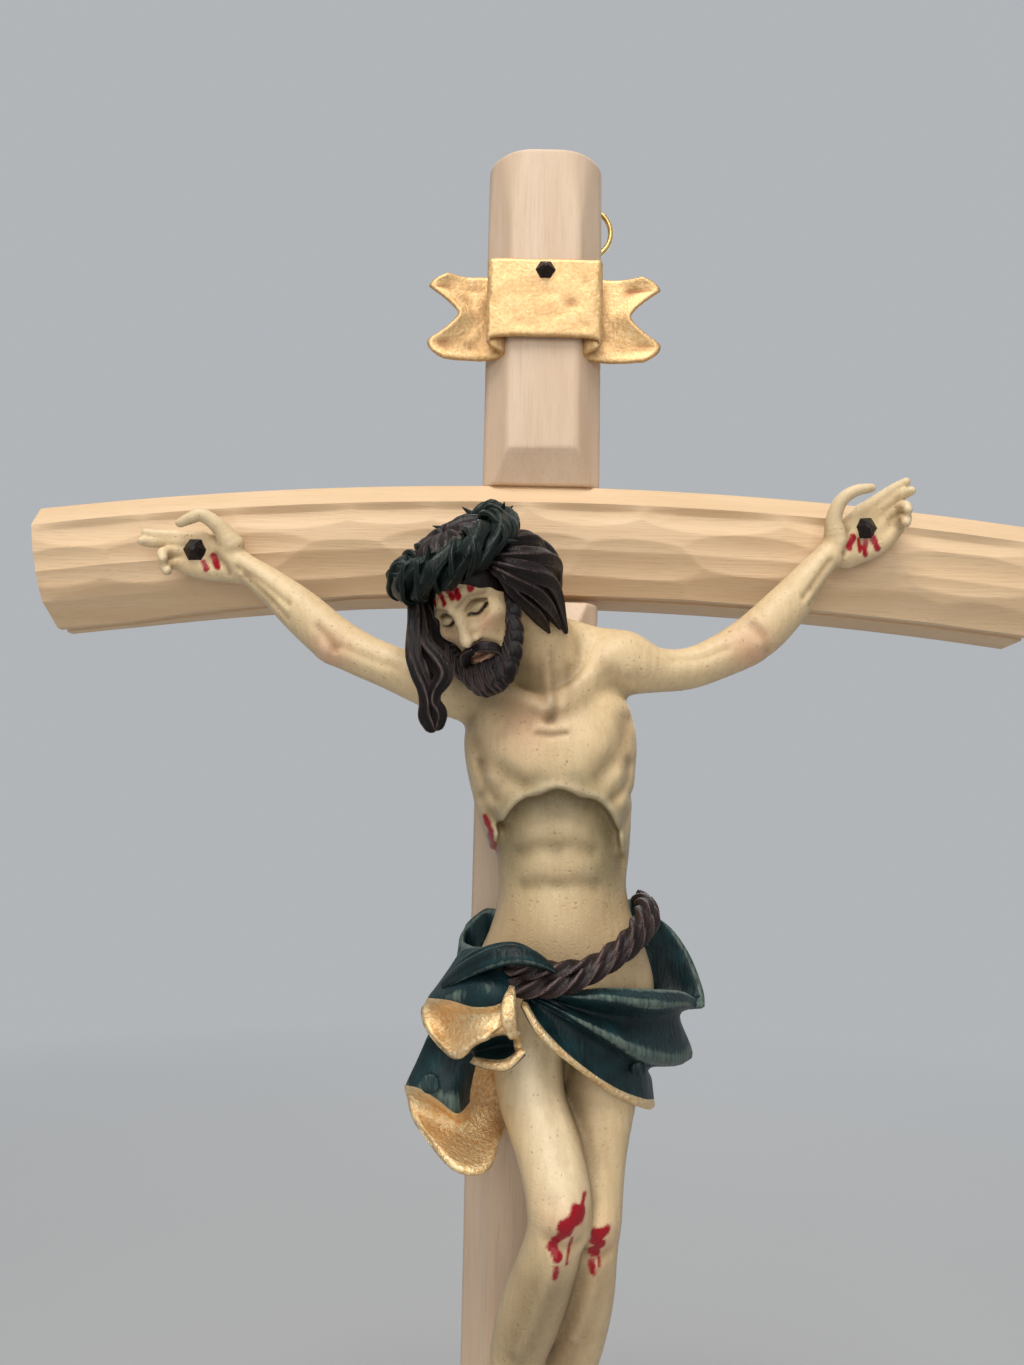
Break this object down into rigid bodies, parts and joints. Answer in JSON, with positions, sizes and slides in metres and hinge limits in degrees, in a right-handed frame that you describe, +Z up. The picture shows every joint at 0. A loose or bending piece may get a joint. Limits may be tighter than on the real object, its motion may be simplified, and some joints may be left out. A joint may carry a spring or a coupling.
{
  "type": "crucifix",
  "caption": "Carved wall crucifix: bowed crossbar half-lapped on a post, painted figure with loincloth and crown of thorns, bare gilded scroll, swivelling ring hanger.",
  "frame": {"origin": "centre of the upright's foot end", "axes": "+Z up along the upright, -Y out of the front, +X to the viewer's right"},
  "size_m": [0.195, 0.0573, 0.358],
  "materials": {
    "upright_wood": "pale pinkish hardwood, fine vertical grain, sanded, unvarnished",
    "crossbar_wood": "pale yellowish hardwood, gouge-carved front, sanded",
    "dowel_wood": "plain beech dowel, glued",
    "flesh": "carved wood, painted cream with olive and brown washes, satin",
    "hair_paint": "carved wood, painted dark purplish brown, dry-brushed",
    "crown_paint": "carved wood, painted very dark green, dry-brushed",
    "cloth_paint": "carved wood, painted petrol blue-green, dry-brushed edges, gilded lining and hem",
    "rope_paint": "carved wood, painted purplish brown",
    "gilding": "carved wood, gilded, with brown tarnish in the recesses",
    "black_iron": "blackened forged nail",
    "hanger_brass": "bright brass, slightly tarnished",
    "screw_steel": "plain bright steel"
  },
  "bodies": {
    "root": {"upright": "upright_wood", "crossbar": "crossbar_wood", "lap_screw": "screw_steel", "corpus_screw": "screw_steel", "title_scroll": "gilding", "title_nail": "black_iron", "body": "flesh", "right_arm": "flesh", "left_arm": "flesh", "right_shoulder_dowel": "dowel_wood", "left_shoulder_dowel": "dowel_wood", "head": "flesh", "neck_dowel": "dowel_wood", "hair": "hair_paint", "beard": "hair_paint", "crown_of_thorns": "crown_paint", "loincloth": "cloth_paint", "loincloth_drape": "cloth_paint", "rope_belt": "rope_paint", "right_hand_nail": "black_iron", "left_hand_nail": "black_iron", "foot_nail": "black_iron", "hanger_screw": "hanger_brass"},
    "strap": {"hanger_strap": "hanger_brass"},
    "ring": {"hanger_ring": "hanger_brass"}
  },
  "joints": [
    {"name": "hanger_swivel", "type": "hinge", "parent": "root", "child": "strap", "pos_m": [0, 0.0092, 0.351], "axis": [0, -1, 0], "range_deg": [-90, 90]},
    {"name": "ring_hinge", "type": "hinge", "parent": "strap", "child": "ring", "pos_m": [0.0054, 0.0098, 0.351], "axis": [0, 0, 1], "range_deg": [0, 110]}
  ]
}
